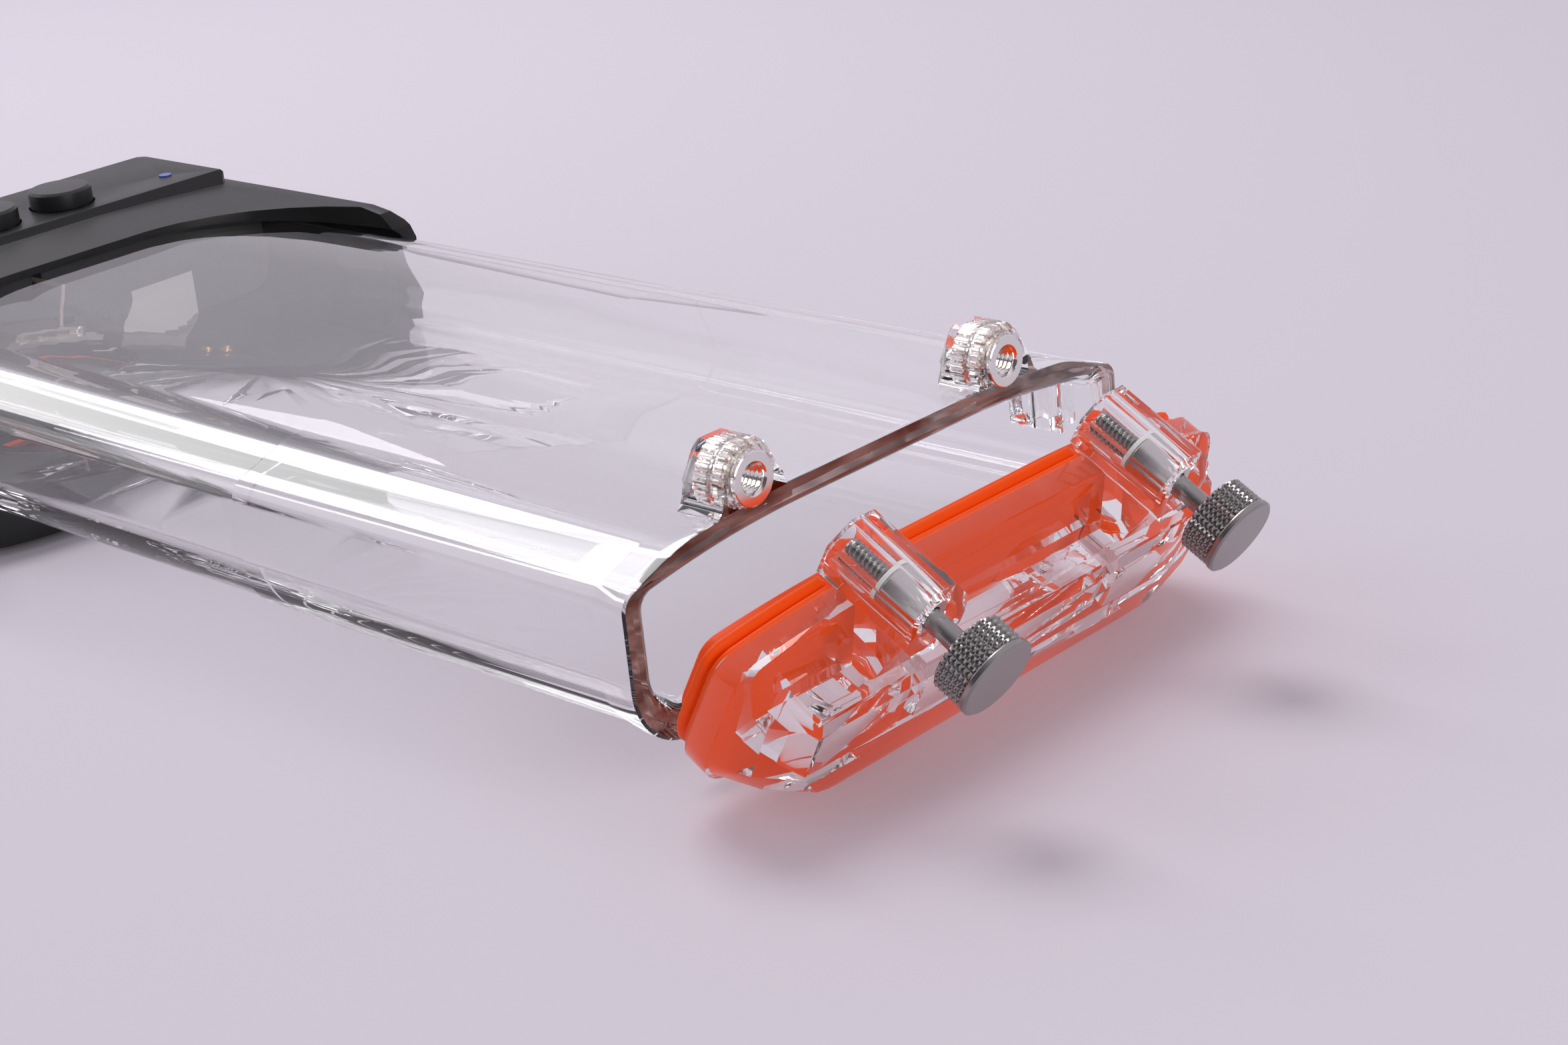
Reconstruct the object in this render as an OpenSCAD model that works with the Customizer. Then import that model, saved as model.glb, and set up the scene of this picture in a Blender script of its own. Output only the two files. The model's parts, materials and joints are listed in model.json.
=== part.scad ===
// Waterproof phone case. A clear housing takes the phone, a clear cap with an orange
// seal closes its mouth on a bottom hinge, two captive thumb screws hold the cap shut,
// and a black control head with push buttons covers the closed end.
// +X runs along the housing and out of its mouth, and +Z is up. The origin is the
// middle of the mouth, in the plane of the rim.

/* [Phone bay] */
// Width of the bay
bay_w = 92; // [84:0.5:100]
// Height of the bay
bay_h = 17.9; // [15:0.1:22]
// Depth of the bay, from the rim to the stop
bay_len = 197; // [190:1:200]
// Fall of the bay's ceiling from its middle to its sides
bay_crown = 2.4; // [1.5:0.1:3]

/* [Clear housing] */
// Thickness of the side walls at the rim
side_t = 4.1; // [3:0.1:5.5]
// Thickness of the roof at the rim
roof_t = 3.9; // [3:0.1:5]
// Thickness of the floor at the rim
floor_t = 5.4; // [4.6:0.1:7]
// Thickness of the closed end
end_t = 3; // [2:0.1:5]
// Room behind the stop for the electronics
electronics_len = 27.5; // [26:0.5:29]
// Radius of the lower outer edges
lower_r = 9.5; // [7:0.5:11]
// Radius of the upper outer edges
upper_r = 4; // [3:0.5:5]
// Fall of the roof from its middle to its sides
roof_crown = 3.4; // [2:0.1:4]
// Half of the width over which the roof is flat
crown_start = 17; // [10:1:24]
// Length of the bead round the rim
rim_bead_len = 5; // [3:0.5:8]
// How far the bead stands out of the walls
rim_bead = 0.6; // [0.3:0.1:1]
// Distance from the rim to the small step in the walls
step_x = 80; // [60:1:100]
// Depth of that step
step_in = 0.5; // [0.2:0.1:0.8]

/* [Thumb screws and inserts] */
// Distance between the two screws
screw_pitch = 51.1; // [46:0.1:56]
// Height of the screws' axis above the roof
screw_rise = 2.5; // [1.5:0.1:3.5]
// Radius of the screw thread, at its pitch line
thread_r = 1.74; // [1.6:0.01:1.9]
// Radial clearance of the thread in its insert
thread_fit = 0.08; // [0.05:0.01:0.1]
// Length of the threaded tip
thread_len = 6.2; // [5.6:0.1:6.6]
// Radius of the thin shank
shank_r = 1.5; // [1.3:0.05:1.55]
// How far the screw can be drawn out
screw_travel = 4.6; // [4:0.1:5]
// Radius of the knurled head
knob_r = 5.9; // [5:0.1:7]
// Length of the knurled head
knob_len = 5.8; // [4.5:0.1:8]
// Radius of the retaining bush
bush_r = 2.9; // [2.6:0.1:3.2]
// Length of the retaining bush
bush_len = 6.2; // [5:0.1:6.6]
// Length of a threaded insert
insert_len = 6.2; // [5.6:0.1:7]
// Length of the clear lug round an insert
lug_len = 8; // [7.5:0.1:10]
// Height of that lug above the screw's axis
lug_rise = 5; // [4.7:0.1:5.6]
// Radius of the insert's front disc
insert_disc_r = 3.7; // [3.4:0.1:4]
// Radius over the insert's knurled bands
insert_band_r = 4.3; // [4:0.1:4.6]

/* [End cap] */
// Angle at which the cap stands open
open_angle = 30.2; // [20:0.1:40]
// Half of the cap's width at its flange
cap_half_w = 48.6; // [46:0.1:50]
// Distance of the cap's lower front face from the rim
cap_depth = 16.2; // [15:0.1:17.5]
// Distance of the cap's upper front edge from the rim
cap_top_depth = 7; // [6:0.1:9]
// Thickness of the cap's front plate
cap_plate_t = 2; // [1.5:0.1:4]
// Width of the ribs between the cap's hollow cells
cap_rib_t = 3.4; // [2.4:0.1:5]
// Distance between those ribs
cap_rib_pitch = 40; // [34:1:46]
// Radius across the flats of a screw barrel
barrel_r = 5.2; // [4.6:0.1:5.6]

/* [Seal] */
// Gap between the rim and the seal when the cap is shut
seal_gap = 0.3; // [0.3:0.05:0.6]
// Thickness of the seal between the rim and the cap
seal_t = 3.1; // [2.5:0.1:4]
// How far the seal's lip reaches into the mouth
seal_lip = 1.8; // [1:0.1:2]

/* [Hinge] */
// Radius of a hinge knuckle
knuckle_r = 2.2; // [2:0.1:2.6]
// Radius of a hinge pin
pin_r = 1; // [0.8:0.05:1.2]
// Running clearance of the cap's knuckle on its pin
pin_fit = 0.06; // [0.03:0.01:0.1]
// Distance between the two hinges
hinge_pitch = 56; // [44:1:64]
// Width of the cap's knuckle
cap_knuckle_w = 10; // [8:0.5:14]
// Width of each of the housing's knuckles
body_knuckle_w = 5; // [4:0.5:7]

/* [Control head] */
// How far the head reaches behind the stop
head_back = 41; // [40:0.5:48]
// How far its wings reach in front of the stop
wing_reach = 38; // [33:1:42]
// How far the front edge of its cover lies in front of the stop
lip_reach = 9; // [7:1:12]
// Thickness of the head's side walls
head_side_t = 2.4; // [2:0.1:3]
// Height of the button panel above the roof
panel_rise = 2.9; // [2.4:0.1:4]
// Distance of the panel's front edge behind the stop
panel_back = 11; // [9:0.5:12]
// Thickness of the rubber feet
foot_t = 1.5; // [1:0.1:2.5]

/* [Buttons] */
// Number of buttons
button_count = 4; // [3:1:4]
// Distance between the buttons
button_pitch = 16; // [14.5:0.1:17]
// Radius of a button
button_r = 5.8; // [5:0.1:6.2]
// How far a button stands out of the panel
button_rise = 3.3; // [2.6:0.1:4]
// Travel of a button
button_travel = 1.2; // [0.8:0.1:1.6]
// Radius of a button's stem
stem_r = 1.6; // [1.4:0.05:1.8]
// Running clearance of the stem
stem_fit = 0.08; // [0.05:0.01:0.1]

/* [Camera window] */
// Radius of the glass
glass_r = 17; // [14:0.5:19]
// Thickness of the glass
glass_t = 2.5; // [2:0.1:3.5]

/* [Hidden] */

eps = 0.01;
seat = 0.02;          // clearance of pieces that sit still in each other
clear = 0.3;          // clearance between pieces that move past each other
corner_n = 8;         // steps in a rounded corner
crown_n = 6;          // steps along the crowned roof
round_fn = 48;
fine_fn = 32;

body_hw = bay_w / 2 + side_t;
roof_z = bay_h / 2 + roof_t;
floor_z = -bay_h / 2 - floor_t;
shell_len = bay_len + electronics_len + end_t;
head_end_x = bay_len + head_back;
wing_x = bay_len - wing_reach;
lip_x = bay_len - lip_reach;
panel_x = bay_len + panel_back;
rear_hw = body_hw - rim_bead - step_in;
rear_floor_z = floor_z + rim_bead + step_in;
screw_y = screw_pitch / 2;
screw_z = roof_z + screw_rise;

// The cap turns about this axis, which runs along Y
hinge_x = -knuckle_r;
hinge_z = floor_z;
seal_front = seal_gap + seal_t;
cap_top_z = roof_z - 0.6;
cap_bottom_z = floor_z + 1.1;
cap_shelf_z = cap_top_z - 8.7;
cap_shelf_x = 10;
cap_brow_z = cap_shelf_z - 1.6;
cell_low_z = cap_bottom_z + 6.8;
cell_top_z = cap_shelf_z - 2;
barrel_end_x = 16.8;
barrel_slant = 1.3;

// The table: the opened cap's lower front edge touches it, and so do the feet
toe_x = cap_depth - 1.4 - hinge_x;
toe_z = cap_bottom_z - hinge_z;
table_z = hinge_z - toe_x * sin(open_angle) + toe_z * cos(open_angle);
base_z = table_z + foot_t;

head_hw = rear_hw + head_side_t + 0.4;
panel_z = roof_z + panel_rise;
brow_z = roof_z + 1.5;
parting_z = -4;
button_x = bay_len + 20;
button_y0 = button_pitch;
pcb_top_z = 1.5;
pcb_t = 1.6;
switch_h = 3.5;
glass_x = bay_len - 21;
glass_y = -14;

// Outline in the Y-Z plane: rounded lower corners, small upper corners, crowned roof
function arc(cy, cz, r, a0, a1, n) =
    [for (i = [0:n]) let (a = a0 + (a1 - a0) * i / n) [cy + r * cos(a), cz + r * sin(a)]];
function half_outline(hw, zt, zb, rl, ru, flat, drop) =
    let (tilt = atan2(2 * drop, hw - flat),
        ye = hw - ru * (1 - sin(tilt)),
        zs = zt - drop)
    concat(arc(hw - rl, zb + rl, rl, -90, 0, corner_n),
        arc(hw - ru, zs - ru * cos(tilt), ru, 0, 90 - tilt, corner_n / 2),
        [for (i = [1:crown_n]) let (y = ye + (flat - ye) * i / crown_n)
            [y, zt - drop * pow((y - flat) / (ye - flat), 2)]]);
function both_halves(pts) = concat(pts, [for (i = [len(pts) - 1:-1:0]) [-pts[i][0], pts[i][1]]]);
function outline(hw, zt, zb, rl, ru, drop) =
    both_halves(half_outline(hw, zt, zb, rl, ru, crown_start, drop));
function body_outline(inset) =
    outline(body_hw - inset, roof_z, floor_z + inset, lower_r - inset / 2, upper_r, roof_crown);
function bay_outline(inset) =
    outline(bay_w / 2 - inset, bay_h / 2 - inset, -bay_h / 2 + inset,
        lower_r - floor_t + 1 - inset / 2, upper_r - 1.5, bay_crown);
function cap_outline(inset) =
    outline(cap_half_w - inset, cap_top_z - inset, cap_bottom_z + inset,
        lower_r - 1 - inset / 2, upper_r - 0.5, roof_crown);

module along_x(x0, x1) {
    translate([x0, 0, 0]) rotate([90, 0, 90]) linear_extrude(x1 - x0) children();
}
module along_y(y0, y1) {
    translate([0, y1, 0]) rotate([90, 0, 0]) linear_extrude(y1 - y0) children();
}
// A cylinder along X from x0 to x1
module rod_x(x0, x1, r, fn = round_fn) {
    translate([x0, 0, 0]) rotate([0, 90, 0]) cylinder(r = r, h = x1 - x0, $fn = fn);
}
// A cylinder along Y from y0 to y1
module rod_y(y0, y1, r, fn = fine_fn) {
    translate([0, y1, 0]) rotate([90, 0, 0]) cylinder(r = r, h = y1 - y0, $fn = fn);
}
// A wheel with straight teeth round its rim
function toothed(r, depth, teeth) =
    [for (i = [0:teeth - 1]) for (k = [0:3])
        let (a = 360 * (i + [0.06, 0.44, 0.56, 0.94][k]) / teeth, q = k < 2 ? r : r - depth)
        [q * cos(a), q * sin(a)]];

module at_screw(side) { translate([0, side * screw_y, screw_z]) children(); }
module at_hinge(side) { translate([hinge_x, side * hinge_pitch / 2, hinge_z]) children(); }
// Puts a piece that is drawn with the cap shut where the opened cap holds it
module opened() {
    translate([hinge_x, 0, hinge_z]) rotate([0, open_angle, 0]) translate([-hinge_x, 0, -hinge_z])
        children();
}

// Clear lug that carries an insert, with cut-glass flats
lug_hw = 5.6;
function lug_section(inset) = let (w = lug_hw - inset, h = lug_rise - inset)
    [[-w, -screw_rise - 2.5], [-w, 0.2], [-w + 2, 3.8 - inset], [-2, h],
        [2, h], [w - 2, 3.8 - inset], [w, 0.2], [w, -screw_rise - 2.5]];
module insert_lug() {
    hull() {
        along_x(-lug_len, 0) polygon(lug_section(0.8));
        along_x(-lug_len + 1, -1) polygon(lug_section(0));
    }
    along_x(-lug_len + 0.6, 0) polygon([[-lug_hw - 1.2, -screw_rise - 2], [-lug_hw - 1.2, -screw_rise - 0.6],
        [-lug_hw - 0.3, -screw_rise + 0.3], [-lug_hw + 0.2, -screw_rise + 1.2],
        [lug_hw - 0.2, -screw_rise + 1.2], [lug_hw + 0.3, -screw_rise + 0.3],
        [lug_hw + 1.2, -screw_rise - 0.6], [lug_hw + 1.2, -screw_rise - 2]]);
}

// Knuckles under the floor, one on each side of the cap's knuckle
module body_knuckles(side) {
    at_hinge(side) for (k = [-1, 1])
        translate([0, k * (cap_knuckle_w / 2 + clear + body_knuckle_w / 2), 0])
            rod_y(-body_knuckle_w / 2, body_knuckle_w / 2, knuckle_r);
}

// Rounded loop on the far wall for a wrist strap
strap_hole_r = 2.2;
strap_x = -13.5;
strap_r = 5;
strap_h = 8.4;
module strap_loop() {
    translate([strap_x, body_hw - 1, 0]) difference() {
        union() {
            translate([-strap_r, 0, -strap_h / 2]) cube([2 * strap_r, 2.5, strap_h]);
            translate([0, 2.5, -strap_h / 2 + 1]) cylinder(r = strap_r, h = strap_h - 2, $fn = round_fn);
            for (k = [0, 1]) translate([0, 2.5, (k - 0.5) * strap_h]) mirror([0, 0, k])
                cylinder(r1 = strap_r - 1, r2 = strap_r, h = 1 + eps, $fn = round_fn);
        }
        translate([0, 3.4, -strap_h]) cylinder(r = strap_hole_r, h = 2 * strap_h, $fn = round_fn);
        translate([-8, -9, -8]) cube([16, 8.2, 16]);
    }
}

module housing_shell() {
    color([0.88, 0.92, 0.95, 0.35]) difference() {
        union() {
            along_x(-step_x, -rim_bead_len) polygon(body_outline(rim_bead));
            along_x(-shell_len, -step_x) polygon(body_outline(rim_bead + step_in));
            hull() {
                along_x(-rim_bead_len - eps, -rim_bead_len) polygon(body_outline(rim_bead));
                along_x(-1.5, 0) polygon(body_outline(0));
            }
            for (side = [-1, 1]) {
                at_screw(side) insert_lug();
                body_knuckles(side);
            }
            strap_loop();
        }
        along_x(-shell_len + end_t, 1) polygon(bay_outline(0));
        hull() {
            along_x(-1, -1 + eps) polygon(bay_outline(0));
            along_x(0, eps) polygon(bay_outline(-1));
        }
        for (side = [-1, 1]) {
            at_screw(side) insert_hole();
            at_hinge(side) rod_y(-20, 20, pin_r + seat);
            at_hinge(side) rod_y(-cap_knuckle_w / 2 - clear, cap_knuckle_w / 2 + clear,
                knuckle_r + clear);
        }
        for (i = [0:button_count - 1]) at_button(i)
            translate([0, 0, -14]) cylinder(r = stem_r + stem_fit, h = 14, $fn = fine_fn);
        translate([-glass_x, glass_y, floor_z - 1])
            cylinder(r = glass_r - 2, h = floor_t + 2, $fn = round_fn);
    }
}

// The insert's profile, along its axis: rear band, groove, front band, neck, disc
band_1 = [-insert_len, -insert_len + 2.5];
band_2 = [-insert_len + 3.2, -1.5];
module insert_hole() {
    rod_x(-insert_len - 0.2, -0.9, insert_band_r + seat);
    rod_x(-1, 1, insert_disc_r + seat);
}
module insert() {
    color([0.82, 0.8, 0.77]) difference() {
        union() {
            along_x(band_1[0], band_1[1]) polygon(toothed(insert_band_r, 0.4, 24));
            rod_x(band_1[1] - eps, band_2[0] + eps, insert_band_r - 0.9);
            along_x(band_2[0], band_2[1]) polygon(toothed(insert_band_r - 0.3, 0.35, 20));
            rod_x(band_2[1] - eps, -0.8, insert_disc_r - 0.6);
            rod_x(-0.85, 0.2, insert_disc_r);
        }
        rod_x(-insert_len - 1, 1, thread_r + thread_fit);
    }
}
module insert_near() { at_screw(-1) insert(); }
module insert_far() { at_screw(1) insert(); }

pin_half = cap_knuckle_w / 2 + clear + body_knuckle_w;
module hinge_pin(side) {
    color([0.6, 0.61, 0.63]) at_hinge(side) rod_y(-pin_half, pin_half, pin_r);
}
module hinge_pin_near() { hinge_pin(-1); }
module hinge_pin_far() { hinge_pin(1); }

// Side profile of the cap in the X-Z plane, from its back round to its front
module cap_profile() {
    polygon([[seal_front, cap_bottom_z - 1], [cap_depth - 1.4, cap_bottom_z - 1],
        [cap_depth - 1.4, cap_bottom_z], [cap_depth - 0.4, cap_bottom_z + 0.6],
        [cap_depth, cap_bottom_z + 1.8], [cap_depth - 0.2, cap_brow_z], [cap_depth - 1.2, cap_shelf_z - 0.6],
        [cap_shelf_x, cap_shelf_z], [cap_top_depth, cap_top_z - 0.6],
        [cap_top_depth - 0.7, cap_top_z + 1], [seal_front, cap_top_z + 1]]);
}
// Body of the cap: full outline at its flange, drawn in and chamfered towards its front
function cap_section(w, low) = both_halves([[w - 12, cap_bottom_z], [w - 4, cap_bottom_z + low],
    [w, cap_bottom_z + 7.2], [w + 0.8, cap_shelf_z], [w + 0.8, cap_top_z]]);
module cap_body() {
    along_x(seal_front, cap_top_depth) polygon(cap_outline(0));
    hull() {
        along_x(seal_front + 2, cap_top_depth) polygon(cap_outline(0.5));
        along_x(12, 12 + eps) polygon(cap_section(cap_half_w - 3.2, 2.4));
        along_x(cap_depth - 0.3, cap_depth) polygon(cap_section(cap_half_w - 9, 2.6));
    }
}

// Octagonal barrel for a screw, round towards the housing, on a web down to the plate
module barrel() {
    intersection() {
        rotate([0, 90, 0]) rotate(22.5) cylinder(r = barrel_r / cos(22.5), h = 40, $fn = 8);
        along_y(-10, 10) polygon([[1.2, -8], [1.2, 8], [barrel_end_x - barrel_slant * 1.4, 8],
            [barrel_end_x, 0], [barrel_end_x, -8]]);
    }
    along_y(-3.4, 3.4) polygon([[seal_front, -3], [seal_front, -8], [cap_shelf_x + 2, -13],
        [cap_shelf_x + 3.6, -11], [barrel_end_x - 1.5, -3]]);
}
module barrel_hole() {
    rod_x(0, 40, bush_r + seat);
    rod_x(bush_x + bush_len, 40, bush_r + 0.5);
}

// Recess in the upper front, between or beside the barrels
module front_recess(y0, y1) {
    recess_t = 1.6;
    top = cap_top_z - 2.2;
    low = cap_shelf_z + 1.2;
    hull() {
        along_y(y0, y1) polygon([[cap_top_depth + 6, top], [cap_top_depth + 1.2, top],
            [cap_shelf_x + 0.6, low], [cap_shelf_x + 6, low]]);
        along_y(y0 + 1.6, y1 - 1.6) polygon([[cap_top_depth + 6, top - 1],
            [cap_top_depth - recess_t + 0.6, top - 1], [cap_shelf_x - recess_t, low + 1],
            [cap_shelf_x + 6, low + 1]]);
    }
}

// Hollow cell in the back of the cap's lower half
module back_cell(y0, y1) {
    along_y(y0, y1) polygon([[seal_front - 1, cell_low_z], [cap_depth - cap_plate_t, cell_low_z],
        [cap_depth - cap_plate_t - 0.2, cell_top_z], [seal_front - 1, cell_top_z]]);
}

module cap_knuckle(side) {
    at_hinge(side) rod_y(-cap_knuckle_w / 2, cap_knuckle_w / 2, knuckle_r);
    translate([0, side * hinge_pitch / 2, 0]) along_y(-cap_knuckle_w / 2, cap_knuckle_w / 2)
        polygon([[hinge_x, hinge_z - knuckle_r], [hinge_x + 0.6, hinge_z - 0.4],
            [seal_front - 0.6, hinge_z - 0.4], [seal_front, cap_bottom_z + 2],
            [seal_front + 4, cap_bottom_z + 2], [seal_front + 4, cap_bottom_z - 1.2],
            [seal_front + 2, hinge_z - knuckle_r]]);
}

module cap_plate() {
    cell_w = cap_rib_pitch - cap_rib_t;
    end_w = cap_half_w - 10.5;
    color([0.9, 0.92, 0.94, 0.35]) opened() difference() {
        union() {
            intersection() {
                cap_body();
                along_y(-60, 60) cap_profile();
            }
            for (side = [-1, 1]) {
                at_screw(side) barrel();
                cap_knuckle(side);
            }
        }
        for (side = [-1, 1]) {
            at_screw(side) barrel_hole();
            at_hinge(side) rod_y(-20, 20, pin_r + pin_fit);
        }
        front_recess(-cap_half_w + 4.5, -screw_y - barrel_r - 0.6);
        front_recess(-screw_y + barrel_r + 0.6, screw_y - barrel_r - 0.6);
        front_recess(screw_y + barrel_r + 0.6, cap_half_w - 4.5);
        back_cell(-cell_w / 2, cell_w / 2);
        for (side = [-1, 1]) mirror([0, side > 0 ? 0 : 1, 0])
            back_cell(cell_w / 2 + cap_rib_t, end_w);
    }
}

// Orange silicone: two ridges round the rim, a lip into the mouth, and a web across
module cap_seal() {
    ridge_in = 0.7;
    groove = [seal_gap + 1.6, seal_gap + 2.1];
    color([0.98, 0.33, 0.03]) opened() difference() {
        union() {
            along_x(seal_gap, groove[0]) polygon(cap_outline(0.8));
            along_x(groove[0] - eps, groove[1] + eps) polygon(cap_outline(0.8 + ridge_in));
            along_x(groove[1], seal_front - seat) polygon(cap_outline(0.8));
            along_x(seal_gap - seal_lip, seal_gap + eps) polygon(bay_outline(0.4));
        }
        along_x(seal_gap - seal_lip - 1, seal_gap - 0.2) polygon(bay_outline(3));
        for (side = [-1, 1]) at_screw(side) rod_x(-5, 20, barrel_r + 0.6);
        for (side = [-1, 1]) at_hinge(side) rod_y(-cap_knuckle_w / 2 - clear,
            cap_knuckle_w / 2 + clear, knuckle_r + clear);
    }
}

// Steel bush pressed into the barrel, which keeps the screw from falling out
bush_x = barrel_end_x - 1.4 - bush_len;
module bush(side) {
    color([0.66, 0.65, 0.63]) opened() at_screw(side) difference() {
        rod_x(bush_x, bush_x + bush_len, bush_r);
        rod_x(0, 40, shank_r + 0.1);
    }
}
module bush_near() { bush(-1); }
module bush_far() { bush(1); }

// Thin ring between the screw's thread and the bush, which slides with the screw
ring_t = 0.6;
module slip_ring(side) {
    color([0.9, 0.9, 0.88]) opened() at_screw(side) difference() {
        rod_x(bush_x - ring_t - 0.1, bush_x - 0.1, bush_r - 0.15, fine_fn);
        rod_x(0, 40, shank_r + 0.1, fine_fn);
    }
}
module slip_ring_near() { slip_ring(-1); }
module slip_ring_far() { slip_ring(1); }

// One turned piece: threaded tip, thin shank, knurled head with a plain front
module thumb_screw(side) {
    tip_x = bush_x - ring_t - 0.2;
    head_x = barrel_end_x + 0.1 + screw_travel;
    color([0.5, 0.49, 0.48]) opened() at_screw(side) {
        rod_x(tip_x - thread_len, tip_x, thread_r, fine_fn);
        translate([tip_x - thread_len, 0, 0]) rotate([0, -90, 0])
            cylinder(r1 = thread_r, r2 = thread_r - 0.5, h = 0.5, $fn = fine_fn);
        rod_x(tip_x - eps, head_x + eps, shank_r, fine_fn);
        along_x(head_x, head_x + knob_len - 1.4) polygon(toothed(knob_r, 0.45, 36));
        translate([head_x + knob_len - 1.4, 0, 0]) rotate([0, 90, 0]) {
            cylinder(r = knob_r - 0.1, h = 1, $fn = round_fn);
            translate([0, 0, 1]) cylinder(r1 = knob_r - 0.1, r2 = knob_r - 0.5, h = 0.4, $fn = round_fn);
        }
    }
}
module thumb_screw_near() { thumb_screw(-1); }
module thumb_screw_far() { thumb_screw(1); }

// Space that the clear housing takes up inside the head
module housing_space() {
    along_x(-shell_len - 0.1, -wing_x + 60)
        polygon(outline(rear_hw + 0.1, roof_z + 0.1, rear_floor_z - 0.1,
            lower_r - (rim_bead + step_in) / 2, upper_r, roof_crown));
}

module at_button(i) {
    translate([-button_x, button_y0 - i * button_pitch, panel_z]) children();
}

// Section of the head in the Y-Z plane
module head_section() {
    edge = 6;
    polygon(concat(
        arc(head_hw - 10, base_z + 10, 10, -90, 0, corner_n),
        [[head_hw, panel_z - 9], [head_hw - 1.4, panel_z - 5.5], [head_hw - edge, panel_z]],
        [[-head_hw + edge, panel_z], [-head_hw + 1.4, panel_z - 5.5], [-head_hw, panel_z - 9]],
        arc(-head_hw + 10, base_z + 10, 10, 180, 270, corner_n)));
}
// Section of the low brow round the panel, crowned like the roof under it
module brow_section() {
    polygon(both_halves([[head_hw - 10, base_z], [head_hw, base_z + 10], [head_hw, panel_z - 9],
        [head_hw - 1.4, panel_z - 5.5], [head_hw - 4, brow_z - 1.2], [crown_start + 14, brow_z - 0.4],
        [crown_start, brow_z]]));
}
// Side profile of the brow in the X-Z plane: rounded rear end, wings that curve down
module brow_profile() {
    polygon([[-head_end_x, base_z], [-head_end_x, panel_z - 6], [-head_end_x + 1.6, brow_z - 0.8],
        [-head_end_x + 4, brow_z], [-wing_x - 12, brow_z], [-wing_x - 7, brow_z - 0.9],
        [-wing_x - 2.5, brow_z - 2.3], [-wing_x, brow_z - 5.1], [-wing_x, base_z]]);
}
// Side profile of the head under the parting line: rounded end, tongue under the floor
module base_profile() {
    polygon([[-head_end_x + 4, base_z], [-head_end_x, base_z + 6], [-head_end_x, panel_z],
        [-wing_x + 30, panel_z], [-wing_x + 30, base_z + 1.2], [-wing_x + 24, base_z]]);
}
// Raised button panel with a steep front and rounded rear corners
module panel_block() {
    rear_x = head_end_x - 2.3;
    panel_hw = head_hw - 5.4;
    corner = 6;
    side = concat([[-panel_x + 2, 0], [-panel_x + 2, panel_hw - 2], [-panel_x, panel_hw]],
        arc(-rear_x + corner, panel_hw - corner, corner, 90, 180, corner_n));
    intersection() {
        along_x(-head_end_x, -panel_x + 2) head_section();
        along_y(-60, 60) polygon([[-rear_x, parting_z], [-rear_x, panel_z - 1.2], [-rear_x + 1.8, panel_z],
            [-panel_x, panel_z], [-panel_x + 1.8, panel_z - 2.4], [-panel_x + 1.8, parting_z]]);
        translate([0, 0, parting_z]) linear_extrude(60)
            polygon(concat(side, [for (i = [len(side) - 1:-1:1]) [side[i][0], -side[i][1]]]));
    }
}
// Plan of the cover: a straight lip across the roof that curves out into a wing on each side
module cover_plan() {
    corner = 14;
    lip_hw = 14;
    reach = lip_x - wing_x + 4;
    spread = head_hw - 4.8 - lip_hw;
    side = concat([[-lip_x, 0]],
        [for (i = [0:7]) [-wing_x + 4 - reach * cos(11.8 * i), lip_hw + spread * sin(11.8 * i)]],
        [[-wing_x, head_hw - 3], [-wing_x, head_hw]],
        arc(-head_end_x + corner, head_hw - corner, corner, 90, 180, corner_n));
    polygon(concat(side, [for (i = [len(side) - 1:-1:1]) [side[i][0], -side[i][1]]]));
}
// Plan of the base: its front bulges forward under the floor
module base_plan() {
    corner = 14;
    bulge = 12;
    side = concat(
        [for (i = [0:5]) [-wing_x - 6 + bulge * cos(15 * i), head_hw * sin(15 * i)]],
        [[-wing_x, head_hw - 1.2], [-wing_x, head_hw]],
        arc(-head_end_x + corner, head_hw - corner, corner, 90, 180, corner_n));
    polygon(concat(side, [for (i = [len(side) - 1:-1:1]) [side[i][0], -side[i][1]]]));
}

module head_cover() {
    color([0.07, 0.07, 0.075]) difference() {
        union() {
            intersection() {
                along_x(-head_end_x, -wing_x) brow_section();
                along_y(-60, 60) brow_profile();
                translate([0, 0, parting_z]) linear_extrude(60) cover_plan();
            }
            panel_block();
        }
        housing_space();
        for (i = [0:button_count - 1]) at_button(i) {
            translate([0, 0, -1.7]) cylinder(r = button_r + clear, h = 4, $fn = round_fn);
            translate([0, 0, -10]) cylinder(r = stem_r + stem_fit, h = 20, $fn = fine_fn);
        }
        translate([-button_x + 2, 38, panel_z - 10]) cylinder(r = 1.2 + seat, h = 20, $fn = fine_fn);
        for (p = boss_points()) translate([p[0], p[1], parting_z - 1])
            cylinder(r = 1.2, h = 7, $fn = 24);
    }
}

// Screw posts of the head, behind the closed end and beside it
function boss_points() = [for (sx = [0, 1]) for (sy = [-1, 1])
    [-head_end_x + 6.6, sy * (head_hw - (sx == 0 ? 16 : 36))]];

module head_base() {
    color([0.06, 0.06, 0.065]) difference() {
        intersection() {
            along_x(-head_end_x, -wing_x + 30) head_section();
            along_y(-60, 60) base_profile();
            translate([0, 0, base_z - 1]) linear_extrude(parting_z - base_z + 1 - seat) base_plan();
        }
        housing_space();
        camera_well();
        for (p = boss_points()) translate([p[0], p[1], base_z - 1]) {
            cylinder(r = 1.4, h = 60, $fn = 24);
            cylinder(r = 2.8, h = 5, $fn = 24);
        }
        translate([-wing_x, -head_hw - 1, -9]) cube([60, 2 * head_hw + 2, 20]);
    }
}

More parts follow.
